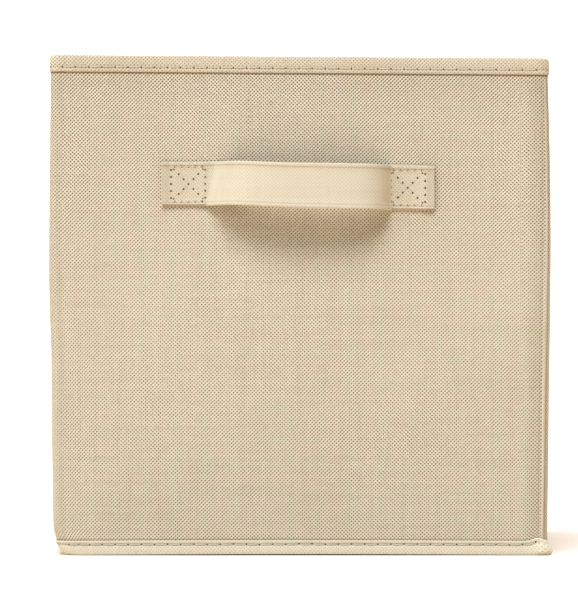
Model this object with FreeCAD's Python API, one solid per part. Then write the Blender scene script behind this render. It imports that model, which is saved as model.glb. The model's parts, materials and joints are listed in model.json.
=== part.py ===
import FreeCAD, Part

import math
import os

# Collapsible fabric storage cube: six stiffened cloth wall panels, a flip-up base board and a strap
# handle. Frame: origin at the centre of the footprint on the floor, +X right, +Y back, +Z up,
# millimetres. The handle is on the front wall, which faces -Y.

# ---- driving dimensions ----------------------------------------------------------------------
WIDTH = 267.0                 # outside the binding, left to right
DEPTH = 267.0                 # outside the binding, front to back
HEIGHT = 267.0

TAPE = 0.8                    # binding tape thickness
CLOTH = 0.6                   # outer non-woven cloth
STIFFENER = 2.0               # cardboard in each wall
LINING = 0.5                  # inner non-woven cloth
CORNER_RADIUS = 5.0           # outer cloth, at the vertical corners

RIM_TAPE_HEIGHT = 9.1
HEM_TAPE_HEIGHT = 7.8
STIFFENER_BOTTOM = 9.0        # the stiffeners stop short of both bindings' seams
STIFFENER_TOP = HEIGHT - 10.5
STIFFENER_END_GAP = 4.0       # from a stiffener's end to the hinge line beside it

THREAD_RADIUS = 0.35
RIM_STITCH = 7.4              # stitch pitch along the rim
HEM_STITCH = 6.8
BOX_STITCH = 3.74             # stitch pitch on the handle ends
RIM_STITCH_DROP = 6.4         # stitch row below the top edge
HEM_STITCH_RISE = 6.0         # stitch row above the floor
STITCH_FILL = 0.84            # share of the pitch that a stitch covers

PANEL_GAP = 0.4               # between neighbouring wall panels
LAYER_CLEARANCE = 0.1         # thread to hinge plane, when folded

BOARD = 2.0                   # base board's cardboard
BOARD_COVER = 0.5             # cloth cover round it
BOARD_SIZE = 255.8
BOARD_BOTTOM = 1.3
BOARD_STAND_OFF = 0.35        # raised board to the front wall's threads
BASE_CLOTH_EDGE_GAP = 0.3

HANDLE_LENGTH = 145.4         # sewn end to sewn end
HANDLE_WIDTH = 24.0
STRAP = 1.6                   # folded strap thickness
HANDLE_Z = 197.2              # middle of the strap
HANDLE_X = -0.5
STITCH_BOX = 18.7             # side of the square of stitches on each end
STITCH_BOX_MARGIN = 4.9       # square of stitches to the strap's end
LOOP_HALF = 38.0              # the part of the strap that swings, each side of the middle
LOOP_GAP = 0.3
FREE_HALF = 49.0              # half the strap's length between the sewn ends

# ---- faces that follow from them, as distances from the middle --------------------------------
HALF = WIDTH / 2
CLOTH_FACE = HALF - TAPE
STIFFENER_FACE = CLOTH_FACE - CLOTH
LINING_BACK = STIFFENER_FACE - STIFFENER
LINING_FACE = LINING_BACK - LINING
TAPE_INNER = LINING_FACE - TAPE
THREAD_INNER = TAPE_INNER - THREAD_RADIUS
HINGE_IN = THREAD_INNER - LAYER_CLEARANCE                     # corner hinges, inside every layer
HINGE_OUT = HALF + THREAD_RADIUS + LAYER_CLEARANCE            # middle creases, outside every layer
BOARD_THICK = BOARD + 2 * BOARD_COVER
FRONT_HINGE = THREAD_INNER - BOARD_STAND_OFF - BOARD_THICK - 0.3   # leaves room for the raised board
CREASE_Y = (HINGE_IN - FRONT_HINGE) / 2
CORNER_FLAT = CLOTH_FACE - CORNER_RADIUS                      # where the flat of a wall ends

# name: (x range, y range) of the part of the wall ring that each panel takes
FAR = 200.0
REGIONS = {
    "front": ((-FAR, FAR), (-FAR, -FRONT_HINGE - PANEL_GAP / 2)),
    "left_front": ((-FAR, 0), (-FRONT_HINGE + PANEL_GAP / 2, CREASE_Y - PANEL_GAP / 2)),
    "left_rear": ((-FAR, 0), (CREASE_Y + PANEL_GAP / 2, HINGE_IN - PANEL_GAP / 2)),
    "back": ((-FAR, CORNER_FLAT - PANEL_GAP / 2), (HINGE_IN + PANEL_GAP / 2, FAR)),
    "rear_right_corner": ((CORNER_FLAT + PANEL_GAP / 2, FAR), (HINGE_IN + PANEL_GAP / 2, FAR)),
    "right_rear": ((0, FAR), (CREASE_Y + PANEL_GAP / 2, HINGE_IN - PANEL_GAP / 2)),
    "right_front": ((0, FAR), (-FRONT_HINGE + PANEL_GAP / 2, CREASE_Y - PANEL_GAP / 2)),
}


def vec(x, y, z=0.0):
    return FreeCAD.Vector(x, y, z)


def box(x, y, z):
    """A box from three (low, high) ranges."""
    size = [high - low for low, high in (x, y, z)]
    return Part.makeBox(*size, vec(x[0], y[0], z[0]))


def rounded_square(half):
    """A horizontal square face with the corner radius that keeps all walls' corners concentric."""
    radius = CORNER_RADIUS + half - CLOTH_FACE
    flat = half - radius
    edges = []
    for turn in range(4):
        spin = FreeCAD.Rotation(vec(0, 0, 1), 90 * turn)
        start, end = spin * vec(half, -flat), spin * vec(half, flat)
        diagonal = flat + radius * math.sqrt(0.5)
        edges.append(Part.LineSegment(start, end).toShape())
        edges.append(Part.Arc(end, spin * vec(diagonal, diagonal), spin * vec(flat, half)).toShape())
    return Part.Face(Part.Wire(edges))


def ring(outer, inner, low, high):
    """A square tube with walls between two distances from the middle, from z low to z high."""
    face = rounded_square(outer).cut(rounded_square(inner)).Faces[0]
    face.translate(vec(0, 0, low))
    return face.extrude(vec(0, 0, high - low))


def in_region(shape, region):
    x, y = REGIONS[region]
    return shape.common(box(x, y, (-FAR, 2 * FAR)))


def save(name, *shapes):
    solids = [solid for shape in shapes for solid in shape.Solids]
    assert solids and all(solid.isValid() and solid.Volume > 0 for solid in solids), name
    Part.makeCompound(solids).exportStep(f"parts/{name}.step")


# ---- wall layers ------------------------------------------------------------------------------
def wall_layers():
    """The cloth, lining and the two bindings as full rings, each to be cut into panels."""
    inside_rim = HEIGHT - TAPE
    walls = ring(CLOTH_FACE, LINING_FACE, TAPE, inside_rim)
    rim = ring(HALF, TAPE_INNER, HEIGHT - RIM_TAPE_HEIGHT, HEIGHT)
    hem = ring(HALF, TAPE_INNER, 0, HEM_TAPE_HEIGHT)
    return {
        "outer_cloth": ring(CLOTH_FACE, STIFFENER_FACE, TAPE, inside_rim),
        "lining": ring(LINING_BACK, LINING_FACE, TAPE, inside_rim),
        "rim_binding": rim.cut(walls),
        "hem_binding": hem.cut(walls),
    }


def stiffener(region):
    """The flat cardboard of one panel, between its two cloths and clear of the corners."""
    y0, y1 = REGIONS[region][1]
    z = (STIFFENER_BOTTOM, STIFFENER_TOP)
    reach = CORNER_FLAT - PANEL_GAP / 2
    if region in ("front", "back"):
        side = -1 if region == "front" else 1
        faces = sorted((side * LINING_BACK, side * STIFFENER_FACE))
        return box((-reach, reach), faces, z)
    side = -1 if region.startswith("left") else 1
    faces = sorted((side * LINING_BACK, side * STIFFENER_FACE))
    return box(faces, (y0 + STIFFENER_END_GAP, y1 - STIFFENER_END_GAP), z)


# ---- threads ----------------------------------------------------------------------------------
def stitch(middle, along, normal, length):
    """Half a round thread lying on a face: middle is on the face, along and normal are unit vectors."""
    start = middle - along * (length / 2)
    side = normal.cross(along) * THREAD_RADIUS
    arc = Part.Arc(start - side, start + normal * THREAD_RADIUS, start + side).toShape()
    chord = Part.LineSegment(start + side, start - side).toShape()
    return Part.Face(Part.Wire([arc, chord])).extrude(along * length)


def stitch_row(start, end, normal, pitch):
    """Stitches end to end from start to end, spread evenly at about the pitch."""
    run = end - start
    count = max(1, round(run.Length / pitch))
    step = run.Length / count
    along = vec(run.x, run.y, run.z).normalize()
    return [
        stitch(start + along * (step * (i + 0.5)), along, normal, step * STITCH_FILL)
        for i in range(count)
    ]


def panel_rows(region, z, distance, sign, pitch):
    """The stitch row on one face of a panel: sign is 1 for its outer face and -1 for its inner face."""
    y0, y1 = REGIONS[region][1]
    straight = CORNER_FLAT - PANEL_GAP / 2
    if region in ("front", "back"):
        side = -1 if region == "front" else 1
        ends = vec(-straight, side * distance, z), vec(straight, side * distance, z)
        return stitch_row(*ends, vec(0, side * sign, 0), pitch)
    side = -1 if region.startswith("left") else 1
    ends = vec(side * distance, y0 + 1, z), vec(side * distance, y1 - 1, z)
    return stitch_row(*ends, vec(side * sign, 0, 0), pitch)


# ---- handle -----------------------------------------------------------------------------------
def strap_line():
    """The strap's middle line in plan, from one sewn end to the other: it bows out of the wall."""
    poles = [(-49, 0), (-45.5, 0), (-42, 4.5), (-37, 13), (-29, 18.5), (-14, 19.6), (8, 19.6), (25, 17.6),
             (35.5, 12.5), (41, 4.5), (45, 0), (49, 0)]
    face = -CLOTH_FACE - STRAP / 2
    line = Part.BSplineCurve()
    line.buildFromPoles([vec(HANDLE_X + x, face - lift) for x, lift in poles], False, 3)
    return line


def strap_body():
    """The free stretch of the strap: its middle line thickened both ways and raised to its width."""
    line = strap_line()
    samples = 61
    sides = ([], [])
    for i in range(samples):
        at = line.FirstParameter + (line.LastParameter - line.FirstParameter) * i / (samples - 1)
        point, tangent = line.value(at), line.tangent(at)[0]
        normal = vec(-tangent.y, tangent.x)
        sides[0].append(point + normal * (STRAP / 2))
        sides[1].append(point - normal * (STRAP / 2))
    curves = []
    for side in sides:
        curve = Part.BSplineCurve()
        curve.interpolate(side)
        curves.append(curve.toShape())
    ends = [Part.LineSegment(sides[0][i], sides[1][i]).toShape() for i in (0, -1)]
    face = Part.Face(Part.Wire(Part.__sortEdges__(curves + ends)))
    face.translate(vec(0, 0, HANDLE_Z - HANDLE_WIDTH / 2))
    return face.extrude(vec(0, 0, HANDLE_WIDTH))


def handle():
    """The swinging loop, and the two sewn ends with the first rise of the strap on each."""
    strap = strap_body()
    z = (HANDLE_Z - HANDLE_WIDTH / 2, HANDLE_Z + HANDLE_WIDTH / 2)
    deep = (-FAR, 0)
    loop = strap.common(box((HANDLE_X - LOOP_HALF, HANDLE_X + LOOP_HALF), deep, z))
    save("handle_loop", loop)
    for name, side in (("left", -1), ("right", 1)):
        inner = HANDLE_X + side * (LOOP_HALF + LOOP_GAP)
        outer = HANDLE_X + side * FAR
        rise = strap.common(box(sorted((inner, outer)), deep, z))
        sewn_x = sorted((HANDLE_X + side * FREE_HALF, HANDLE_X + side * HANDLE_LENGTH / 2))
        sewn = box(sewn_x, (-CLOTH_FACE - STRAP, -CLOTH_FACE), z)
        save(f"handle_{name}_end", rise.fuse(sewn).removeSplitter())
        save(f"handle_{name}_stitches", *cross_box_stitches(side))


def cross_box_stitches(side):
    """A square of stitches with both diagonals, on one sewn end."""
    face = -CLOTH_FACE - STRAP
    middle_x = HANDLE_X + side * (HANDLE_LENGTH / 2 - STITCH_BOX_MARGIN - STITCH_BOX / 2)
    reach, inner = STITCH_BOX / 2, STITCH_BOX / 2 - 1.6
    out = vec(0, -1, 0)

    def at(x, z):
        return vec(middle_x + x, face, HANDLE_Z + z)

    rows = []
    for sx, sz in ((-1, -1), (1, -1), (1, 1), (-1, 1)):
        start, end = at(sx * reach, sz * reach), at(-sz * reach, sx * reach)
        rows += stitch_row(start, end, out, BOX_STITCH)
    centre_gap = 0.8
    for sx, sz in ((-1, -1), (1, -1), (1, 1), (-1, 1)):
        start = at(sx * inner, sz * inner)
        end = at(sx * centre_gap, sz * centre_gap)
        rows += stitch_row(start, end, out, BOX_STITCH)
    return rows


# ---- base -------------------------------------------------------------------------------------
def base():
    reach = TAPE_INNER - BASE_CLOTH_EDGE_GAP
    save("base_cloth", rounded_square(reach).extrude(vec(0, 0, CLOTH)))
    half = BOARD_SIZE / 2
    top = BOARD_BOTTOM + BOARD_THICK
    cover = box((-half, half), (-half, half), (BOARD_BOTTOM, top))
    core_half = half - BOARD_COVER
    core_z = (BOARD_BOTTOM + BOARD_COVER, top - BOARD_COVER)
    core = box((-core_half, core_half), (-core_half, core_half), core_z)
    save("base_board_cover", cover.cut(core))
    save("base_board_core", core)


def main():
    os.makedirs("parts", exist_ok=True)
    layers = wall_layers()
    rim_row, hem_row = HEIGHT - RIM_STITCH_DROP, HEM_STITCH_RISE
    for region in REGIONS:
        for layer, shape in layers.items():
            save(f"{region}_{layer}", in_region(shape, region))
        if region == "rear_right_corner":
            continue
        save(f"{region}_stiffener", stiffener(region))
        rim_rows = panel_rows(region, rim_row, HALF, 1, RIM_STITCH)
        rim_rows += panel_rows(region, rim_row, TAPE_INNER, -1, RIM_STITCH)
        save(f"{region}_rim_stitches", *rim_rows)
        save(f"{region}_hem_stitches", *panel_rows(region, hem_row, HALF, 1, HEM_STITCH))
    handle()
    base()


main()
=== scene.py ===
"""Looks of the fabric storage bin: embossed cloth walls over board, bound rims, threads, strap handle, base.

All lengths are in metres. The walls are swept along one line that runs round the box: a place on them
is its distance along that line (the run, 0 at the middle of the front, growing to the left), its height
and its depth below the outer cloth's face.
"""

import math

import bpy
import numpy as np
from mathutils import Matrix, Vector
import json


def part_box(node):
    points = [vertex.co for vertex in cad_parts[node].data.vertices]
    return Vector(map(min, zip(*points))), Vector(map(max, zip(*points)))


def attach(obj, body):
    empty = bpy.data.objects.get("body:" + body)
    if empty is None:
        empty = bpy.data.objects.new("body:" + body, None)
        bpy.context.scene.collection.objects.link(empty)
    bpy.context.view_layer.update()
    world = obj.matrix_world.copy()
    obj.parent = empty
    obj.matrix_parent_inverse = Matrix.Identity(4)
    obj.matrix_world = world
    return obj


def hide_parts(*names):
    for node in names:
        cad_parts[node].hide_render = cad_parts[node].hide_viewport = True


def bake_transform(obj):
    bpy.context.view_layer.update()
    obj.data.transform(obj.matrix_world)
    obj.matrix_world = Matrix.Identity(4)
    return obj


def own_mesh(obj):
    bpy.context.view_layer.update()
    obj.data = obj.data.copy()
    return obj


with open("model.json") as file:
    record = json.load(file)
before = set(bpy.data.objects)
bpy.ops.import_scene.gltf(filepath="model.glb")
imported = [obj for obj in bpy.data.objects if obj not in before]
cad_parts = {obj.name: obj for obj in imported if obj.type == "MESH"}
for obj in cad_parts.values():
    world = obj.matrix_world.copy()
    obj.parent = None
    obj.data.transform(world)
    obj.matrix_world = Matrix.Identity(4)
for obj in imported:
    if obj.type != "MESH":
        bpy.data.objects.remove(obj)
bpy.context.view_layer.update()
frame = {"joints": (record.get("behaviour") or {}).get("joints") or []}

MM = 0.001

# ---- sizes, from the frame ----------------------------------------------------------------------
rim_low, rim_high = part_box("front_rim_binding")
hem_low, hem_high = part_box("front_hem_binding")
cloth_low, cloth_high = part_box("front_outer_cloth")
lining_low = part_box("front_lining")[0]
board_low, board_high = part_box("front_stiffener")
joint = {j["name"]: j for j in frame["joints"]}

HEIGHT = rim_high.z
FACE = cloth_high.x                                   # outer cloth face, from the middle
TAPE = rim_high.x - FACE
CLOTH = board_low.y - cloth_low.y
CARD = board_high.y - board_low.y
LINING = lining_low.y - cloth_low.y - CLOTH - CARD + 0.5 * MM     # with the play beside the board
WALL = CLOTH + CARD + LINING                          # outer cloth's face to lining's face
RADIUS = 5 * MM                                       # vertical corners, at the outer cloth's face
FLAT = 2 * (FACE - RADIUS)
ARC = math.pi / 2 * RADIUS
QUARTER = FLAT + ARC
ROUND = 4 * QUARTER                                   # once round the box
FRONT_HINGE = -joint["collapse"]["pos_m"][1]
CREASE_Y = joint["left_crease"]["pos_m"][1]
REAR_HINGE = joint["rear_left_corner"]["pos_m"][1]
RIM_DROP = rim_high.z - rim_low.z
HEM_RISE = hem_high.z - hem_low.z

# runs of the front corners' middles and of the side creases
FRONT_LEFT = FLAT / 2 + ARC / 2
FRONT_RIGHT = -FRONT_LEFT
LEFT_CREASE = QUARTER + CREASE_Y
RIGHT_CREASE = 3 * QUARTER - CREASE_Y

STITCH_PITCH = ROUND / 150
RIM_ROW = 2.7 * MM                                    # stitch row, above the rim tape's lower edge
HEM_ROW = RIM_ROW * HEM_RISE / RIM_DROP               # stitch row, below the hem tape's upper edge
THREAD = 0.32 * MM                                    # radius
FOLD = 1.7 * MM                                       # height of the rim tape's round fold
DOTS = 2 * MM                                         # spacing of the cloth's pressed dots
SEAM_LOW = 2.0 * MM                                   # closing seam's foot, from the corner's middle
SEAM_LEAN = 1.6 / 240                                 # its slope: it nears the corner on its way up
LEAN_WAY = np.array([1.0, 0.1])                       # direction of the walls' sideways shift
OUTSIDE = 0.7 * MM                                    # what is less deep follows the outer cloth's detail


# ---- the line round the box and the cloth's own shape --------------------------------------------
def plan(run):
    """Point and outward normal on the outer cloth's line, for an array of runs."""
    along = np.mod(np.asarray(run, float) + FLAT / 2, ROUND)
    side = np.floor(along / QUARTER)
    t = along - side * QUARTER
    turn = np.clip((t - FLAT) / RADIUS, 0, math.pi / 2)
    normal = np.stack([-np.sin(turn), -np.cos(turn)], -1)
    x = FLAT / 2 - np.minimum(t, FLAT) + RADIUS * normal[..., 0]
    y = -FLAT / 2 + RADIUS * normal[..., 1]
    c, s = np.cos(side * math.pi / 2), np.sin(side * math.pi / 2)

    def spin(a, b):
        return np.stack([a * c + b * s, b * c - a * s], -1)

    return spin(x, y), spin(normal[..., 0], normal[..., 1])


def bump(x, width):
    return np.exp(-(x / width) ** 2)


def gap_to(run, centre):
    """Signed distance along the line from centre, the short way round."""
    return np.mod(run - centre + ROUND / 2, ROUND) - ROUND / 2


def swell(run, z):
    """How far the whole wall stands out of its flat plane: fuller at mid height, with slow waves."""
    h = np.clip(z / HEIGHT, 0, 1)
    belly = 1.25 * MM * np.sin(math.pi * np.clip((h - 0.02) / 0.98, 0, 1)) ** 0.8
    panel = gap_to(run, 0) / QUARTER
    calm = np.abs(np.sin(math.pi * panel * 2)) ** 0.5
    waves = 0.35 * np.sin(9.1 * panel + 5.0 * h + 0.6) + 0.3 * np.sin(23.7 * panel - 8.3 * h)
    waves = waves + 0.18 * np.sin(41.0 * panel + 17.0 * h + 1.1)
    edge_calm = np.clip((z - 12 * MM) / (40 * MM), 0, 1) * np.clip((HEIGHT - 12 * MM - z) / (30 * MM), 0, 1)
    at_crease = np.minimum(np.abs(gap_to(run, LEFT_CREASE)), np.abs(gap_to(run, RIGHT_CREASE)))
    free = 1 - bump(at_crease, 9 * MM)
    return (belly * 0.85 + 0.45 * MM * (waves + 0.83) * calm * edge_calm) * free


def cloth_detail(run, z):
    """What the wall's outermost layers do: corner ear, closing seam, pucker."""
    ear = 3.2 * MM * bump(z - 2.2 * MM, 3.4 * MM) * bump(gap_to(run, FRONT_RIGHT), 4.5 * MM)
    seam_at = gap_to(run, FRONT_RIGHT) - SEAM_LOW + SEAM_LEAN * z
    shown = np.clip(1.15 - z / HEIGHT, 0, 1) * np.clip((z - HEM_RISE) / (4 * MM), 0, 1)
    seam = (0.8 * bump(seam_at, 0.7 * MM) - 0.6 * bump(seam_at - 1.5 * MM, 0.8 * MM)) * MM * shown
    pucker = -1.0 * MM * bump(gap_to(run, FRONT_RIGHT) - 5.6 * MM, 1.8 * MM) * bump(z - 8.6 * MM, 1.5 * MM)
    return ear + seam + pucker


def lean(run, z):
    """Sideways shift near the front corners: the left one leans in below mid height, and more at its foot;
    the right one bulges above mid height."""
    left, right = gap_to(run, FRONT_LEFT), gap_to(run, FRONT_RIGHT)
    at_left = bump(left, np.where(left > 0, 60 * MM, 13 * MM))
    at_right = bump(right, np.where(right < 0, 60 * MM, 13 * MM))
    foot = 6.4 * MM * np.clip(1 - z / (17 * MM), 0, 1) ** 2
    below = np.clip((150 * MM - z) / (50 * MM), 0, 1)
    inward = foot + 1.3 * MM * below ** 2 * (3 - 2 * below)
    return inward * at_left + 1.1 * MM * bump(z - 0.68 * HEIGHT, 0.27 * HEIGHT) * at_right


def lift(run, z, x):
    """How far a height is off its nominal value: the rim slopes a little, the hem arches in the middle of
    the front and gathers near its right corner."""
    rim = -(0.35 * MM + 0.9 * MM * x / FACE) * np.clip(z / HEIGHT, 0, 1)
    arch = 0.4 * MM * np.clip(1 - (x / (0.85 * FACE)) ** 2, 0, 1) * np.clip(1 - z / (70 * MM), 0, 1) ** 2
    in_front = np.abs(gap_to(run, 0)) < FLAT / 2
    gather = 1.7 * MM * bump(gap_to(run, FRONT_RIGHT) - 4.0 * MM, 3.6 * MM) * bump(z - 7.0 * MM, 3.6 * MM)
    return rim + arch * in_front + gather


def surface(run, z, depth):
    """Points on the walls; run, z and depth are arrays of one shape."""
    run, z, depth = np.broadcast_arrays(*(np.asarray(a, float) for a in (run, z, depth)))
    point, normal = plan(run)
    out = swell(run, z) - depth + cloth_detail(run, z) * (depth < OUTSIDE)
    xy = point + normal * out[..., None] + lean(run, z)[..., None] * LEAN_WAY
    return np.concatenate([xy, (z + lift(run, z, point[..., 0]))[..., None]], -1)


# ---- mesh building ------------------------------------------------------------------------------
def make_object(name, points, faces, cloth=None, sharp=50):
    mesh = bpy.data.meshes.new(name)
    mesh.from_pydata([tuple(p) for p in points], [], [tuple(f) for f in faces])
    mesh.validate()
    mesh.polygons.foreach_set("use_smooth", [True] * len(mesh.polygons))
    mesh.set_sharp_from_angle(angle=math.radians(sharp))
    if cloth is not None:
        layer = mesh.attributes.new("cloth", "FLOAT_VECTOR", "POINT")
        layer.data.foreach_set("vector", np.asarray(cloth, np.float32).ravel())
    obj = bpy.data.objects.new(name, mesh)
    bpy.context.scene.collection.objects.link(obj)
    return obj


def grid_faces(columns, rows, first=0, flip=False):
    """Quads of a grid whose points go column by column."""
    faces = []
    for j in range(columns - 1):
        for k in range(rows - 1):
            a = first + j * rows + k
            quad = (a, a + rows, a + rows + 1, a + 1)
            faces.append(quad[::-1] if flip else quad)
    return faces


def two_sided(name, outer, inner, coords, sharp=50):
    """A closed sheet from two grids of points of shape (columns, rows, 3)."""
    columns, rows = outer.shape[:2]
    count = columns * rows
    points = np.concatenate([outer.reshape(-1, 3), inner.reshape(-1, 3)])
    faces = grid_faces(columns, rows) + grid_faces(columns, rows, count, True)
    for j in range(columns - 1):
        a, b = j * rows, (j + 1) * rows
        faces.append((a, a + count, b + count, b))
        a, b = a + rows - 1, b + rows - 1
        faces.append((a, b, b + count, a + count))
    for k in range(rows - 1):
        a, last = k, (columns - 1) * rows + k
        faces.append((a, a + 1, a + 1 + count, a + count))
        faces.append((last, last + count, last + 1 + count, last + 1))
    both = np.concatenate([coords.reshape(-1, 3)] * 2)
    return make_object(name, points, faces, both, sharp)


def path_length(profile):
    steps = np.linalg.norm(np.diff(profile, axis=0), axis=1)
    return np.concatenate([[0], np.cumsum(steps)])


def sweep(name, runs, outer, inner, along_height=False):
    """A sheet swept along the walls; outer and inner are its two faces as (depth, height) rows."""
    runs = np.asarray(runs)[:, None]
    outer, inner = np.asarray(outer), np.asarray(inner)
    up = outer[:, 1] if along_height else path_length(outer)
    coords = np.zeros((len(runs), len(outer), 3))
    coords[..., 0], coords[..., 1] = runs, up
    sides = [surface(runs, face[:, 1][None], face[:, 0][None]) for face in (outer, inner)]
    return two_sided(name, *sides, coords)


def threads(name, paths, radius=THREAD):
    """Round threads with closed ends; each path is (points, outward direction)."""
    points, faces, coords = [], [], []
    sides = 6
    angles = np.arange(sides) * 2 * math.pi / sides
    for line, out in paths:
        first = len(points)
        tangent = np.gradient(line, axis=0)
        tangent /= np.linalg.norm(tangent, axis=1)[:, None]
        side = np.cross(tangent, out)
        side /= np.linalg.norm(side, axis=1)[:, None]
        up = np.cross(side, tangent)
        length = path_length(line)
        for i, centre in enumerate(line):
            for angle in angles:
                points.append(centre + radius * (side[i] * math.cos(angle) + up[i] * math.sin(angle)))
                coords.append((length[i], radius * angle, 0))
        for i in range(len(line) - 1):
            for k in range(sides):
                a, b = first + i * sides + k, first + i * sides + (k + 1) % sides
                faces.append((a, b, b + sides, a + sides))
        last = first + (len(line) - 1) * sides
        faces.append(tuple(first + k for k in range(sides))[::-1])
        faces.append(tuple(last + k for k in range(sides)))
    return make_object(name, points, faces, coords, 80)


# ---- material graphs ----------------------------------------------------------------------------
class Wire:
    """A number in a material's node graph, with arithmetic."""

    def __init__(self, graph, socket):
        self.graph, self.socket = graph, socket

    def _do(self, kind, *others):
        return self.graph.math(kind, self, *others)

    def __add__(self, other):
        return self._do("ADD", other)

    def __sub__(self, other):
        return self._do("SUBTRACT", other)

    def __mul__(self, other):
        return self._do("MULTIPLY", other)

    def __truediv__(self, other):
        return self._do("DIVIDE", other)

    def __abs__(self):
        return self._do("ABSOLUTE")

    def wave(self):
        return self._do("COSINE")

    def least(self, other):
        return self._do("MINIMUM", other)

    def most(self, other):
        return self._do("MAXIMUM", other)

    def power(self, other):
        return self._do("POWER", other)

    def centred(self, period):
        """Distance from the nearest multiple of period."""
        return self._do("WRAP", period / 2, -period / 2)

    def ramp(self, low, high, a=0.0, b=1.0):
        node = self.graph.node("ShaderNodeMapRange", interpolation_type="SMOOTHSTEP")
        self.graph.feed(node.inputs[0], self)
        for i, value in enumerate((low, high, a, b)):
            node.inputs[i + 1].default_value = value
        return Wire(self.graph, node.outputs[0])


class Graph:
    """One material and the nodes in it."""

    def __init__(self, name):
        self.material = bpy.data.materials.new(name)
        self.material.use_nodes = True
        self.tree = self.material.node_tree
        self.shader = self.tree.nodes["Principled BSDF"]

    def node(self, kind, **settings):
        node = self.tree.nodes.new(kind)
        for key, value in settings.items():
            setattr(node, key, value)
        return node

    def feed(self, socket, value):
        if isinstance(value, Wire):
            self.tree.links.new(value.socket, socket)
        else:
            socket.default_value = value

    def math(self, kind, *values):
        node = self.node("ShaderNodeMath", operation=kind)
        for socket, value in zip(node.inputs, values):
            self.feed(socket, value)
        return Wire(self, node.outputs[0])

    def cloth(self):
        """The sheet's own coordinates: along it, up it."""
        source = self.node("ShaderNodeAttribute", attribute_name="cloth")
        split = self.node("ShaderNodeSeparateXYZ")
        self.tree.links.new(source.outputs["Vector"], split.inputs[0])
        return Wire(self, split.outputs[0]), Wire(self, split.outputs[1])

    def noise(self, scale, detail=2.0, stretch=(1, 1, 1), rough=0.5, offset=0.0):
        place = self.node("ShaderNodeMapping")
        place.inputs["Scale"].default_value = stretch
        place.inputs["Location"].default_value = (offset, offset, offset)
        source = self.node("ShaderNodeTexCoord")
        self.tree.links.new(source.outputs["Object"], place.inputs[0])
        node = self.node("ShaderNodeTexNoise")
        self.tree.links.new(place.outputs[0], node.inputs["Vector"])
        node.inputs["Scale"].default_value = scale
        node.inputs["Detail"].default_value = detail
        node.inputs["Roughness"].default_value = rough
        return Wire(self, node.outputs["Fac"])

    def mix(self, share, a, b):
        node = self.node("ShaderNodeMix", data_type="RGBA")
        self.feed(node.inputs[0], share)
        for socket, value in ((node.inputs[6], a), (node.inputs[7], b)):
            self.feed(socket, (*value, 1) if isinstance(value, tuple) else value)
        return Wire(self, node.outputs[2])

    def finish(self, colour, height, **settings):
        """Links the colour and the relief, given in metres, and sets the shader's own values."""
        self.feed(self.shader.inputs["Base Color"], colour)
        relief = self.node("ShaderNodeBump")
        relief.inputs["Distance"].default_value = 1.0
        relief.inputs["Strength"].default_value = 1.0
        self.feed(relief.inputs["Height"], height)
        self.tree.links.new(relief.outputs[0], self.shader.inputs["Normal"])
        for key, value in settings.items():
            self.shader.inputs[key.replace("_", " ")].default_value = value
        return self.material


def needle(along, across, pitch, radius=0.5 * MM):
    """1 in the needle holes of a row, 0 away from them."""
    a = along.centred(pitch)
    distance = (a * a + across * across).power(0.5)
    return distance.ramp(radius * 0.45, radius, 1.0, 0.0)


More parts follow.
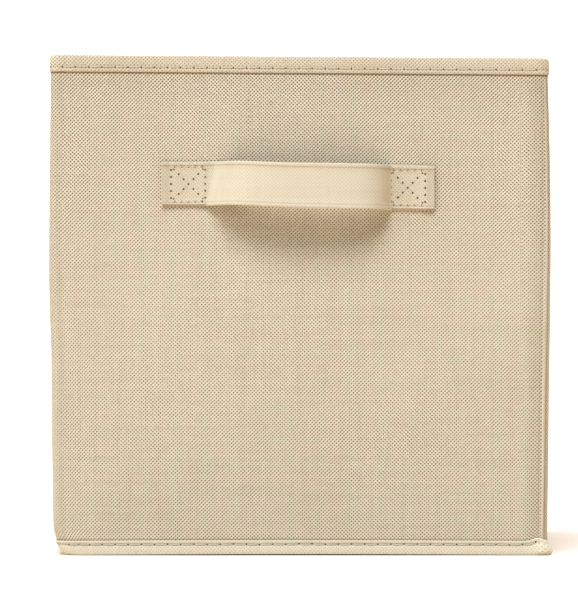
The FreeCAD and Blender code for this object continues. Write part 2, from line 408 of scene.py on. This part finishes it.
def non_woven(name, light, dark, contrast=1.0, relief=0.16 * MM, holes=None, spot=0.55, blotch=0.24,
              corners=False, texture_and_shade=None):
    """Spun-bonded cloth: a staggered lattice of pressed dots over fine fibres. corners adds what only the
    outer cloth has: fewer dots at the corners and on the closing seam's ridge, and painted shade along the
    tapes, at the corners and beside the closing seam. holes and the last argument are functions of the
    graph, u and v: holes for needle holes and their rows, drawn dark as painted shade, and the last for
    places that look darker, partly by painted shade."""
    g = Graph(name)
    u, v = g.cloth()
    drift = g.noise(160, 1.0)
    u2, v2 = u + (drift - 0.5) * (0.5 * MM), v + (drift - 0.5) * (-0.5 * MM)
    k = 2 * math.pi / DOTS
    lean = g.noise(18, 2.0, offset=11.0).ramp(0.35, 0.65, 0.49, 0.61)
    lattice = ((u2 + v2) * k).wave() * lean + ((u2 - v2) * k).wave() * (lean * -1.0 + 1.0)
    fibre = g.noise(2600, 3.0, rough=0.7)
    uneven = g.noise(700, 2.0, offset=3.0)
    deep = g.noise(7, 1.0, offset=2.9).ramp(0.3, 0.7, 1.0, 1.1)
    # the dots grow darker towards the top
    deep = deep + v.ramp(0.5 * HEIGHT, 0.95 * HEIGHT, 0.0, 0.28)
    dots = lattice.ramp(1 - spot - 0.35, 1.0) * (uneven * 0.9 + 0.55) * deep
    if corners:
        from_seam = (u - FRONT_RIGHT).centred(ROUND) + v * SEAM_LEAN - SEAM_LOW
        ridge = abs(from_seam).ramp(0.3 * MM, 1.0 * MM, 1.0, 0.0)
        from_corner = abs((u - FRONT_LEFT).centred(ROUND / 2)).ramp(2.5 * MM, 7.0 * MM, 0.6, 1.0)
        dots = dots * from_corner * (ridge * -0.7 + 1.0)
    warm = g.noise(26, 3.0, rough=0.6, offset=7.0).ramp(0.4, 0.72)
    slub_up = g.noise(420, 2.0, stretch=(1, 1, 0.035), offset=1.0)
    slub_along = g.noise(420, 2.0, stretch=(0.035, 0.035, 1), offset=2.0)
    tone = (slub_up + slub_along - 1.0) * 0.21 + (fibre - 0.5) * 0.38
    shade = (dots * contrast - tone).most(0.0).least(1.0)
    if corners:
        # painted shade: darker just under the rim tape and faintly up to 22 mm below it, over the hem tape,
        # beside and near the closing seam, and at the corners
        from_rim = v - (HEIGHT - RIM_DROP)
        under_rim = from_rim.ramp(-1.3 * MM, -0.1 * MM, 0.0, 0.5) + from_rim.ramp(-22 * MM, 0.0, 0.0, 0.07)
        over_hem = (v - HEM_RISE).ramp(0.2 * MM, 1.3 * MM, 0.38, 0.0)
        beside_seam = abs(from_seam + 1.3 * MM).ramp(0.1 * MM, 0.7 * MM, 0.35, 0.0)
        near_seam = abs(from_seam).ramp(4 * MM, 12 * MM, 0.12, 0.0)
        at_corner = (from_corner * -1.0 + 1.0) * 0.5
        shade = (shade + under_rim + over_hem + beside_seam + near_seam + at_corner).least(1.0)
    pink = tuple(c * f for c, f in zip(light, (0.97, 0.90, 0.83)))
    ground = g.mix(warm * blotch, light, pink)
    colour = g.mix(shade, ground, dark)
    height = dots * -relief + fibre * (0.05 * MM)
    # a texture darkened in places, partly by painted shade
    if texture_and_shade:
        colour = g.mix(texture_and_shade(g, u, v), colour, dark)
    if holes:
        # painted shade: the needle holes and stitch rows are drawn near black-brown and sunk in the relief
        pit = holes(g, u, v)
        colour = g.mix(pit * 0.95, colour, (0.10, 0.045, 0.012))
        height = height - pit * (0.5 * MM)
    return g.finish(colour, height, Roughness=0.88,
                    Sheen_Weight=0.12, Sheen_Roughness=0.6, Sheen_Tint=(0.9, 0.72, 0.5, 1),
                    Specular_IOR_Level=0.15, Specular_Tint=(1.0, 0.75, 0.5, 1))


def strap_holes(g, u, v):
    """The crossed square of needle holes on each end of the strap, u from its middle along the cloth; the
    holes are drawn dark, as painted shade.
    """
    along = abs(u) - STRAP_BOX
    a, b = abs(along), abs(v)
    half, pitch = BOX_HALF, BOX_PITCH
    near = a.most(b).ramp(half + 0.4 * MM, half + 0.6 * MM, 1.0, 0.0)
    inside = a.most(b).ramp(half - 1.4 * MM, half - 1.0 * MM, 1.0, 0.0)
    sides = needle(v, a - half, pitch, 0.66 * MM).most(needle(along, b - half, pitch, 0.66 * MM)) * near
    root = math.sqrt(0.5)
    cross = needle((a + b) * root, (a - b) * root, pitch, 0.62 * MM) * inside
    return sides.most(cross)


def make_materials():
    """Every cloth, tape, thread and board look, by name."""
    made = {}
    light, dark = (0.7, 0.589, 0.416), (0.219, 0.139, 0.0615)
    made["outer"] = non_woven("outer_cloth", light, dark, 1.0, spot=0.75, corners=True)
    made["lining"] = non_woven("lining_cloth", (0.7, 0.581, 0.393), (0.35, 0.253, 0.139), 0.6, spot=0.5)
    tape, tape_dark = (0.648, 0.534, 0.365), (0.271, 0.185, 0.0925)

    # painted shade: the needle holes of each rim row are drawn dark, with a darker line along the row
    def rim_rows(g, u, v):
        row = abs(v - RIM_ROW).least(abs(v - (RIM_PATH - RIM_ROW)))
        return needle(u, row, STITCH_PITCH, 0.62 * MM).most(row.ramp(0.1 * MM, 0.45 * MM, 0.2, 0.0))

    # painted shade: dark needle holes and a darker groove along the wavy hem row and above it, left out at
    # the front right corner
    def hem_rows(g, u, v):
        wavy = v + (g.noise(95, 1.0, offset=4.0) - 0.5) * (1.3 * MM)
        row = abs(wavy - HEM_ROW).least(abs(v - (HEM_PATH - HEM_ROW)))
        lip = (v - HEM_ROW).ramp(-0.9 * MM, -0.2 * MM, 0.06, 0.0)
        groove = row.ramp(0.1 * MM, 1.1 * MM, 0.22, 0.0) + lip
        clear = abs((u - FRONT_RIGHT).centred(ROUND)).ramp(2.6 * MM, 3.6 * MM)
        return needle(u, row, STITCH_PITCH, 0.6 * MM).most(groove) * clear

    made["rim"] = non_woven("rim_tape", tape, tape_dark, 0.85, 0.08 * MM, rim_rows, spot=0.6, blotch=0.3)
    made["hem"] = non_woven("hem_tape", (0.736, 0.623, 0.43), tape_dark, 0.42, 0.06 * MM, hem_rows, spot=0.5,
                            blotch=0.2)

    def strap_texture_and_shade(g, u, v):
        # painted shade along the strap's turned edges; sewn, weave, grain and pressed are its own texture
        folds = abs(abs(v) - 0.81 * HANDLE_HALF).ramp(0.1 * MM, 0.5 * MM, 0.3, 0.0)
        slant = (v / (2 * HANDLE_HALF) + 0.5) * u.ramp(-1 * MM, 1 * MM, 7 * MM, 0.0)
        sewn_from = STRAP_BOX - BOX_HALF
        sewn = (abs(u) + slant).ramp(sewn_from - 0.6 * MM, sewn_from + 0.2 * MM, 0.0, 0.04)
        k = 2 * math.pi / DOTS
        pressed = (((u + v) * k).wave() + ((u - v) * k).wave() * 0.5).ramp(0.4, 1.45, 0.0, 10.0)
        # painted shade on the strap's ends, past the stitched squares
        ends = abs(u).ramp(STRAP_BOX + BOX_HALF + 0.3 * MM, STRAP_BOX + BOX_HALF + 1.2 * MM, 0.0, 0.14)
        weave = ((u + v * 1.4) * (math.pi / (0.55 * MM))).wave().ramp(-1.0, 1.0, 0.0, 0.16)
        grain = g.noise(850, 3.0, rough=0.7, offset=6.0).ramp(0.5, 0.7, 0.0, 4.0)
        return folds + sewn + ends + weave + sewn * grain + sewn * pressed

    made["strap"] = non_woven("strap_cloth", (0.691, 0.581, 0.404), (0.35, 0.244, 0.131), 0.42, 0.05 * MM,
                              strap_holes, spot=0.4, blotch=0.2, texture_and_shade=strap_texture_and_shade)
    made["thread"] = thread_material()
    made["card"] = card_material()
    return made


def thread_material():
    g = Graph("polyester_thread")
    u, v = g.cloth()
    ply = ((u * 2.0 + v) * (math.pi / (0.35 * MM))).wave() * 0.5 + 0.5
    fuzz = g.noise(3000, 2.0)
    colour = g.mix(ply * 0.6 + fuzz * 0.4, (0.525, 0.42, 0.277), (0.752, 0.648, 0.462))
    return g.finish(colour, ply * (0.04 * MM), Roughness=0.6, Sheen_Weight=0.2, Specular_IOR_Level=0.35)


def card_material():
    g = Graph("greyboard")
    fibres = g.noise(900, 4.0, rough=0.7)
    flecks = g.noise(260, 2.0, offset=5.0).ramp(0.62, 0.74)
    colour = g.mix(fibres, (0.36, 0.27, 0.17), (0.55, 0.44, 0.30))
    colour = g.mix(flecks * 0.5, colour, (0.24, 0.17, 0.10))
    return g.finish(colour, fibres * (0.1 * MM), Roughness=0.93, Specular_IOR_Level=0.2)


# ---- walls --------------------------------------------------------------------------------------
PANEL_BODY = {"front": "front_wall", "left_front": "left_front", "left_rear": "left_rear",
              "back": "back_wall", "right_rear": "right_rear", "right_front": "right_front"}

# where one body meets the next at a fold, in y
FOLD_FRONT = (-REAR_HINGE - 0.05 * MM, -FRONT_HINGE + 4.0 * MM)
FOLD_REAR = (REAR_HINGE - 4.2 * MM, REAR_HINGE + 0.05 * MM)
FOLD_CREASE = (CREASE_Y - 0.6 * MM, CREASE_Y + 0.6 * MM)

# where one sheet ends and the next begins, from the middle of the front and back or of the sides
SEAM_X = 118 * MM
SEAM_SIDE = 115 * MM
SEAM_CREASE = 10 * MM

# span: (start and end of its run, the two bodies that it lies across, their limits in y, CAD panels)
SPANS = {
    "front_and_left_front": (-SEAM_X, QUARTER - SEAM_CREASE, "front_wall", "left_front", FOLD_FRONT,
                             ("front", "left_front")),
    "left_rear": (QUARTER - SEAM_CREASE, QUARTER + SEAM_SIDE, "left_front", "left_rear", FOLD_CREASE,
                  ("left_rear",)),
    "back": (QUARTER + SEAM_SIDE, 2 * QUARTER + SEAM_X, "left_rear", "back_wall", FOLD_REAR, ("back",)),
    "right_rear": (2 * QUARTER + SEAM_X, 3 * QUARTER - SEAM_CREASE, "rear_right_corner", "right_rear",
                   FOLD_REAR[::-1], ("rear_right_corner", "right_rear")),
    "right_front": (3 * QUARTER - SEAM_CREASE, 3 * QUARTER + SEAM_SIDE, "right_rear", "right_front",
                    FOLD_CREASE[::-1], ("right_front",)),
    "front_right_corner": (3 * QUARTER + SEAM_SIDE, ROUND - SEAM_X, "right_front", "front_wall",
                           FOLD_FRONT[::-1], ()),
}


def run_stops(start, end, step, fine=0.45 * MM):
    """Places along the line from start to end, closer together at the corners and creases."""
    stops = {round(start, 7), round(end, 7)}
    count = max(2, round((end - start) / step))
    stops |= {round(start + (end - start) * i / count, 7) for i in range(count + 1)}
    for corner in range(-1, 5):
        low = corner * QUARTER + FLAT / 2
        near = fine / 2 if corner in (-1, 3) else fine
        for i in range(round((ARC + 12 * MM) / near) + 1):
            place = low - 6 * MM + i * near
            if start < place < end:
                stops.add(round(place, 7))
    for crease in (LEFT_CREASE, RIGHT_CREASE):
        for side in (-1, 1):
            for away in (0.65 * MM, 3 * MM, 6 * MM):
                if start < crease + side * away < end:
                    stops.add(round(crease + side * away, 7))
        stops = {s for s in stops if abs(s - crease) > 0.64 * MM}
    kept = []
    for stop in sorted(stops):
        if not kept or stop - kept[-1] > 0.1 * MM or stop == round(end, 7):
            kept.append(stop)
    return kept


def straight(depth, low, high, step=6 * MM):
    count = max(2, round((high - low) / step))
    return [(depth, low + (high - low) * i / count) for i in range(count + 1)]


def rim_profile(square=0.6):
    """The rim tape's outer face and its inner face, from the outer leg's edge over the top to the other;
    the smaller square is, the squarer the fold."""
    low, top = HEIGHT - RIM_DROP, HEIGHT
    row = low + RIM_ROW
    outer = [(-TAPE * 0.75, low), (-TAPE * 1.1, low + 0.35 * MM), (-TAPE * 1.15, low + 1.3 * MM),
             (-TAPE * 0.95, row - 0.5 * MM), (-TAPE * 0.72, row), (-TAPE * 0.98, row + 0.5 * MM),
             (-TAPE * 1.2, row + 1.5 * MM), (-TAPE * 1.12, top - 2.4 * MM)]
    middle = WALL / 2
    reach = middle + TAPE
    for i in range(9):
        angle = math.pi * i / 8
        drop = FOLD * (1 - max(math.sin(angle), 0) ** square)
        outer.append((middle - (reach + 0.05 * MM) * math.cos(angle), top - drop))
    outer += [(WALL + TAPE * 1.1, top - 3.0 * MM), (WALL + TAPE * 0.98, row + 0.5 * MM),
              (WALL + TAPE * 0.75, row), (WALL + TAPE * 0.95, row - 0.5 * MM),
              (WALL + TAPE * 1.0, low + 1.3 * MM), (WALL + TAPE * 0.75, low)]
    inner = []
    for depth, z in outer:
        in_fold = z > top - FOLD - 0.1 * MM
        under = min(z, top - TAPE)
        if depth < middle:
            inner.append((max(depth + TAPE * 0.9, 0) * in_fold, under))
        else:
            inner.append((WALL - max(WALL - (depth - TAPE * 0.9), 0) * in_fold, under))
    return outer, inner


def hem_profile():
    """The hem tape, from the outer leg's upper edge under the wall to the inner leg's edge."""
    rim, inside = rim_profile(square=0.3)
    scale = HEM_RISE / RIM_DROP

    def turned(face):
        return [(d, (HEIGHT - z) * scale) for d, z in face]

    return turned(rim), turned(inside)


RIM_PATH = path_length(np.array(rim_profile()[0]))[-1]
HEM_PATH = path_length(np.array(hem_profile()[0]))[-1]


def bind(obj):
    """Bakes the piece's placement into its mesh."""
    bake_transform(obj)


def dress(obj, material):
    obj.data.materials.append(material)
    return obj


def walls(materials):
    rim_outer, rim_inner = rim_profile()
    hem_outer, hem_inner = hem_profile()
    low, high = TAPE, HEIGHT - TAPE
    layers = {
        "outer_cloth": (straight(0, low, high), straight(CLOTH, low, high), "outer", "outer_cloth", 6 * MM),
        "lining": (straight(WALL - LINING, low, high), straight(WALL, low, high), "lining", "lining", 6 * MM),
        "rim_binding": (rim_outer, rim_inner, "rim", "binding", 1.75 * MM),
        "hem_binding": (hem_outer, hem_inner, "hem", "binding", 1.75 * MM),
    }
    for span, (start, end, first, second, limits, panels) in SPANS.items():
        for layer, (outer, inner, look, slot, step) in layers.items():
            obj = sweep(f"{layer}_{span}", run_stops(start, end, step), outer, inner,
                        along_height=layer in ("outer_cloth", "lining"))
            dress(obj, materials[look])
            held = "folded" if "binding" in layer else "stretched"
            backing = [p for p in panels if p in PANEL_BODY] or ["front", "right_front"]
            end - start
            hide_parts(*[f"{panel}_{layer}" for panel in panels])
            bind(obj)


def panel_run(node):
    """Start and end of a flat CAD node's run along the walls."""
    low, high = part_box(node)
    panel = node.rsplit("_", 1)[0]
    if panel == "front":
        return -high.x, -low.x
    if panel == "back":
        return 2 * QUARTER + low.x, 2 * QUARTER + high.x
    if panel.startswith("left"):
        return QUARTER + low.y, QUARTER + high.y
    return 3 * QUARTER - high.y, 3 * QUARTER - low.y


def stiffeners(materials):
    for panel, body in PANEL_BODY.items():
        node = f"{panel}_stiffener"
        start, end = panel_run(node)
        low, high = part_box(node)
        count = 40
        runs = [start + (end - start) * i / count for i in range(count + 1)]
        shy = 0.05 * MM
        obj = sweep(f"{panel}_board", runs, straight(CLOTH + shy, low.z, high.z),
                    straight(CLOTH + CARD - shy, low.z, high.z), along_height=True)
        dress(obj, materials["card"])
        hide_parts(node)
        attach(obj, body)


def row_threads(start, end, height, depth, proud):
    """Stitches of a row: each dips into a needle hole at both ends and lies on the tape between them.
    proud is 1 for a row on the outside and -1 for one on the inside."""
    paths = []
    first, last = math.ceil(start / STITCH_PITCH), math.floor(end / STITCH_PITCH)
    shape = np.array([-1.6, 0.2, 0.75, 0.95, 0.95, 0.75, 0.2, -1.6]) * THREAD
    share = np.array([0.04, 0.1, 0.2, 0.38, 0.62, 0.8, 0.9, 0.96])
    for i in range(first, last):
        runs = (i + share) * STITCH_PITCH
        lie = np.full(len(runs), height)
        line = surface(runs, lie, depth - proud * shape)
        normal = plan((i + 0.5) * STITCH_PITCH)[1] * proud
        paths.append((line, np.array([normal[0], normal[1], 0.0])))
    return paths


def stitches(materials):
    rim_height = HEIGHT - RIM_DROP + RIM_ROW
    hem_height = HEM_RISE - HEM_ROW
    for panel, body in PANEL_BODY.items():
        start, end = panel_run(f"{panel}_stiffener")
        margin = 1 * MM if panel in ("front", "back") else -3 * MM
        start, end = start + margin, end - margin
        rim = row_threads(start, end, rim_height, -TAPE * 0.8, 1)
        rim += row_threads(start, end, rim_height, WALL + TAPE * 0.8, -1)
        hem = row_threads(start, end, hem_height, -TAPE * 0.7, 1)
        for row, paths in (("rim", rim), ("hem", hem)):
            obj = threads(f"{panel}_{row}_threads", paths)
            dress(obj, materials["thread"])
            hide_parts(f"{panel}_{row}_stitches")
            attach(obj, body)


# ---- handle -------------------------------------------------------------------------------------
left_low, left_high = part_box("handle_left_end")
right_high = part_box("handle_right_end")[1]
loop_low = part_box("handle_loop")[0]
HANDLE_Z = (left_low.z + left_high.z) / 2
HANDLE_HALF = (left_high.z - left_low.z) / 2
HANDLE_X = (left_low.x + right_high.x) / 2
HANDLE_REACH = (right_high.x - left_low.x) / 2
STRAP = 1.6 * MM                                      # thickness of the folded strap
BOX_HALF = 9.35 * MM                                  # half the side of a crossed square of stitches
BOX_PITCH = 3.74 * MM                                 # its needle holes' spacing
END_MARGIN = 4.9 * MM                                 # from the square to the strap's end
FOLDED_END = 0.45 * MM                                # how much the end, folded under, raises the squares
FREE_HALF = HANDLE_REACH - END_MARGIN - 2 * BOX_HALF
BOW = cloth_low.y - loop_low.y - STRAP


def strap_line():
    """Middle line of the strap as (x, distance out of the wall), sewn end to sewn end, closely spaced."""
    corners = [(-HANDLE_REACH, 0), (-FREE_HALF - 2 * MM, 0), (-FREE_HALF + 2.5 * MM, 0.9 * MM),
               (-0.80 * FREE_HALF, 0.52 * BOW), (-0.66 * FREE_HALF, 0.83 * BOW),
               (-0.35 * FREE_HALF, 0.99 * BOW), (0.10 * FREE_HALF, 1.02 * BOW),
               (0.50 * FREE_HALF, 0.97 * BOW), (0.77 * FREE_HALF, 0.84 * BOW), (0.91 * FREE_HALF, 0.50 * BOW),
               (0.985 * FREE_HALF, 0.5 * MM), (1.01 * FREE_HALF, 0),
               (FREE_HALF + 3 * MM, 0), (HANDLE_REACH, 0)]
    curve = bpy.data.curves.new("strap_line", "CURVE")
    spline = curve.splines.new("NURBS")
    spline.points.add(len(corners) - 1)
    for point, (x, out) in zip(spline.points, corners):
        point.co = (HANDLE_X + x, out, 0, 1)
    spline.order_u = 4
    spline.use_endpoint_u = True
    spline.resolution_u = 24
    holder = bpy.data.objects.new("strap_line", curve)
    mesh = bpy.data.meshes.new_from_object(holder)
    line = np.array([v.co[:2] for v in mesh.vertices])
    bpy.data.objects.remove(holder)
    bpy.data.curves.remove(curve)
    length = path_length(line)
    even = np.linspace(0, length[-1], 200)
    return np.stack([np.interp(even, length, line[:, i]) for i in range(2)], -1), even


def strap_frame():
    """The strap's middle line, the length along it and its outward normals."""
    line, length = strap_line()
    tangent = np.gradient(line, axis=0)
    tangent /= np.linalg.norm(tangent, axis=1)[:, None]
    out = np.stack([-tangent[:, 1], tangent[:, 0]], -1)
    return line, length, out


def strap_point(line, out, z, height):
    """Point of the strap at (x, out) with an outward offset of height along out, at the strap's own z."""
    x = line[..., 0] + out[..., 0] * height
    away = line[..., 1] + out[..., 1] * height
    drop = -0.0155 * (line[..., 0] - HANDLE_X)
    hump = 0.9 * MM * bump(line[..., 0] - HANDLE_X + 0.72 * FREE_HALF, 17 * MM)
    level = HANDLE_Z + z + drop + hump
    wall = swell(-x, level)
    return np.stack([x, -FACE - wall - away, level], -1)


def strap(materials):
    """The strap: turned edges, thicker sewn ends with a step at the lower edge, a bow that starts slanted."""
    line, length, out = strap_frame()
    across = np.array([-1, -0.99, -0.955, -0.925, -0.905, -0.87, -0.83, -0.79, -0.5, 0,
                       0.5, 0.79, 0.83, 0.87, 0.94, 0.985, 1])
    rise = np.array([0.25, 0.8, 0.97, 1.0, 1.0, 1.0, 0.86, 0.74, 0.8, 0.84,
                     0.8, 0.74, 0.86, 1.0, 1.0, 0.8, 0.25]) * STRAP
    lower_layer = np.array([0.6, 0.5, 0.45, 0.4] + [1.0] * 13)
    x = line[:, 0] - HANDLE_X
    turned_under = 0.5 * MM * bump(np.clip(HANDLE_REACH - np.abs(x), 0, 1) / (4.6 * MM), 1.0) ** 0.3
    pressed = -0.16 * STRAP * bump(np.abs(x) - HANDLE_REACH + END_MARGIN + BOX_HALF, BOX_HALF)
    half = HANDLE_HALF * (1 + 0.012 * np.sin(x / HANDLE_REACH * 2.2))
    z = half[:, None] * across[None]
    sewn = np.clip((np.abs(x) - FREE_HALF + 1 * MM) / (2 * MM), 0, 1)[:, None]
    folded_end = FOLDED_END * sewn
    thickness = rise[None] + turned_under[:, None] + pressed[:, None] + folded_end
    top = thickness * (1 - sewn + sewn * lower_layer[None])
    under = np.where(rise < 0.5 * STRAP, rise, 0.04 * STRAP)[None] * np.ones_like(top)
    shape = z.shape + (2,)
    lines, outs = line[:, None] * np.ones(shape), np.broadcast_to(out[:, None], shape)
    ease = np.clip((-0.3 * FREE_HALF - x) / (0.5 * FREE_HALF), 0, 1)[:, None]
    late = 6.5 * MM * (across[None] + 1) / 2 * ease ** 2 * (3 - 2 * ease)
    lines[..., 1] = np.interp(lines[..., 0] - late, line[:, 0], line[:, 1])
    face, back = strap_point(lines, outs, z, top), strap_point(lines, outs, z, under * 0.5)
    coords = np.zeros(z.shape + (3,))
    coords[..., 0], coords[..., 1] = (length - length[-1] / 2)[:, None], z
    obj = two_sided("handle_strap", face[::-1], back[::-1], coords[::-1])
    dress(obj, materials["strap"])
    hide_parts("handle_loop", "handle_left_end", "handle_right_end")
    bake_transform(obj)


# middle of a stitched square, from the strap's middle along the cloth
STRAP_BOX = strap_line()[1][-1] / 2 - END_MARGIN - BOX_HALF


def strap_stitches(materials):
    """Threads between the needle holes of the crossed squares."""
    shape = np.array([-1.4, -0.1, 0.25, 0.25, -0.1, -1.4]) * THREAD * 0.8
    share = np.array([0.22, 0.30, 0.42, 0.58, 0.70, 0.78])
    count = round(2 * BOX_HALF / BOX_PITCH)
    for name, side in (("left", -1), ("right", 1)):
        centre = HANDLE_X + side * (HANDLE_REACH - END_MARGIN - BOX_HALF)
        paths = []

        def lay(start, end):
            place = np.array(start)[None] + (np.array(end) - np.array(start))[None] * share[:, None]
            line = np.stack([centre + place[:, 0], np.full(len(place), STRAP * 0.72 + FOLDED_END)], -1)
            out = np.tile([0.0, 1.0], (len(place), 1))
            points = strap_point(line, out, place[:, 1], shape)
            paths.append((points, np.array([0.0, -1.0, 0.0])))

        def offset(i):
            return (i - count / 2) * BOX_PITCH

        for i in range(count):
            for fixed in (-BOX_HALF, BOX_HALF):
                lay((offset(i), fixed), (offset(i + 1), fixed))
                lay((fixed, offset(i)), (fixed, offset(i + 1)))
        arm = BOX_PITCH * math.sqrt(0.5)
        for sx in (-1, 1):
            for sz in (-1, 1):
                for i in range(2):
                    lay((sx * arm * i, sz * arm * i), (sx * arm * (i + 1), sz * arm * (i + 1)))
        obj = threads(f"handle_{name}_threads", paths, THREAD * 0.7)
        dress(obj, materials["thread"])
        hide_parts(f"handle_{name}_stitches")
        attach(obj, "front_wall")


# ---- base ---------------------------------------------------------------------------------------
# taken off the underside of the base board and its cover, which the swollen walls meet when folded
CLEAR = 1.1 * MM


def quilted(name, low, high, edge, waves, corner):
    """A closed flat slab with rolled edges and rounded corners, from one corner of its box to the other."""
    count = 64
    t = (1 - np.cos(np.linspace(0, math.pi, count + 1))) / 2
    x = (low.x + (high.x - low.x) * t)[:, None] * np.ones(count + 1)[None]
    y = (low.y + (high.y - low.y) * t)[None] * np.ones(count + 1)[:, None]
    inside = np.minimum(np.minimum(x - low.x, high.x - x), np.minimum(y - low.y, high.y - y))
    full = np.sqrt(np.clip(1 - (1 - np.clip(inside / edge, 0, 1)) ** 2, 0, 1))
    middle, half = (low.z + high.z) / 2, (high.z - low.z) / 2
    wave = waves * np.sin(x * 61 + 1.3) * np.sin(y * 47 + 0.4) * full
    top = np.stack([x, y, middle + half * (0.12 + 0.88 * full) + wave], -1)
    under = np.stack([x, y, middle - half * (0.12 + 0.88 * full)], -1)
    for face in (top, under):
        for i, j in ((0, 1), (1, 0)):
            centre = (low[i] + high[i]) / 2, (low[j] + high[j]) / 2
            reach = (high[i] - low[i]) / 2 - corner, (high[j] - low[j]) / 2 - corner
            a, b = (x, y) if i == 0 else (y, x)
            past = np.clip((np.abs(a - centre[0]) - reach[0]) / corner, 0, 1)
            beside = np.clip((np.abs(b - centre[1]) - reach[1]) / corner, 0, 1)
            shrink = past * (1 - np.sqrt(1 - beside ** 2 / 2)) * corner
            face[..., i] -= np.sign(a - centre[0]) * shrink
    coords = np.stack([x, y, np.zeros_like(x)], -1)
    return two_sided(name, top, under, coords, 60)


def base(materials):
    """The sewn bottom and, on it, the loose board in its sleeve."""
    low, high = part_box("base_cloth")
    bottom = quilted("bottom_cloth", low, high, 0.4 * MM, 0.0, 7 * MM)
    dress(bottom, materials["lining"])
    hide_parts("base_cloth")
    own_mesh(bottom)
    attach(bottom, "front_wall")
    low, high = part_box("base_board_cover")
    low.z += CLEAR
    cover = quilted("base_board_cloth_cover", low, high, 1.6 * MM, 0.12 * MM, 8 * MM)
    dress(cover, materials["lining"])
    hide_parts("base_board_cover")
    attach(cover, "base_board")
    low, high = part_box("base_board_core")
    low.z += CLEAR
    plate = quilted("base_board_plate", low, high, 0.3 * MM, 0.0, 8 * MM)
    dress(plate, materials["card"])
    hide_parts("base_board_core")
    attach(plate, "base_board")


# ---- stage --------------------------------------------------------------------------------------
def floor():
    g = Graph("pale_floor")
    grain = g.noise(40, 2.0)
    colour = g.mix(grain, (0.83, 0.73, 0.61), (0.85, 0.745, 0.625))
    material = g.finish(colour, grain * (0.02 * MM), Roughness=0.9, Specular_IOR_Level=0.0)
    size = 60.0                                       # metres, so that its far edge is at the horizon
    ground = make_object("floor", [(-size, -size, 0), (size, -size, 0), (size, size, 0), (-size, size, 0)],
                         [(0, 1, 2, 3)])
    ground.data.materials.append(material)


LIGHT = (0.84, 0.995, 1.275)                          # cool, since the floor throws warm light back
SURROUNDINGS = (0.96, 0.98, 1.05, 1)


def sun(name, place, power, spread):
    """Soft light from one side, the same everywhere; place is towards the light."""
    data = bpy.data.lights.new(name, "SUN")
    data.energy = power
    data.color = LIGHT
    data.angle = math.radians(spread)
    obj = bpy.data.objects.new(name, data)
    bpy.context.scene.collection.objects.link(obj)
    obj.location = place
    obj.rotation_euler = Vector(place).to_track_quat("Z", "Y").to_euler()


def studio():
    """Soft light from above the front and, weaker, from its left; the surroundings are white behind the
    box and dim in front of it."""
    world = bpy.data.worlds.new("studio")
    world.use_nodes = True
    tree = world.node_tree
    source = tree.nodes.new("ShaderNodeTexCoord")
    split = tree.nodes.new("ShaderNodeSeparateXYZ")
    ramp = tree.nodes.new("ShaderNodeMapRange")
    tree.links.new(source.outputs["Generated"], split.inputs[0])
    tree.links.new(split.outputs[1], ramp.inputs[0])
    for i, value in enumerate((-0.3, 0.3, 0.05, 1.9)):
        ramp.inputs[i + 1].default_value = value
    background = tree.nodes["Background"]
    background.inputs["Color"].default_value = SURROUNDINGS
    tree.links.new(ramp.outputs[0], background.inputs["Strength"])
    scene = bpy.context.scene
    scene.world = world
    scene.view_settings.view_transform = "Standard"
    scene.view_settings.gamma = 0.8
    sun("key", (-0.10, -1.37, 1.87), 2.75, 26)
    sun("side", (-1.6, -1.25, 1.4), 1.3, 40)


def camera():
    """Square on to the front, from a little left of its middle, with a long lens."""
    data = bpy.data.cameras.new("camera")
    away, aside, eye = 2.4, -5.35 * MM, 134.5 * MM
    view_height = 0.3243                              # what the picture shows at the front's distance
    data.sensor_width = 36
    data.lens = data.sensor_width * away / view_height
    obj = bpy.data.objects.new("camera", data)
    bpy.context.scene.collection.objects.link(obj)
    obj.location = (aside, -FACE - away, eye)
    obj.rotation_euler = (math.pi / 2, 0, 0)
    bpy.context.scene.camera = obj


def main():
    camera()
    materials = make_materials()
    walls(materials)
    stiffeners(materials)
    stitches(materials)
    strap(materials)
    strap_stitches(materials)
    base(materials)
    floor()
    studio()


main()
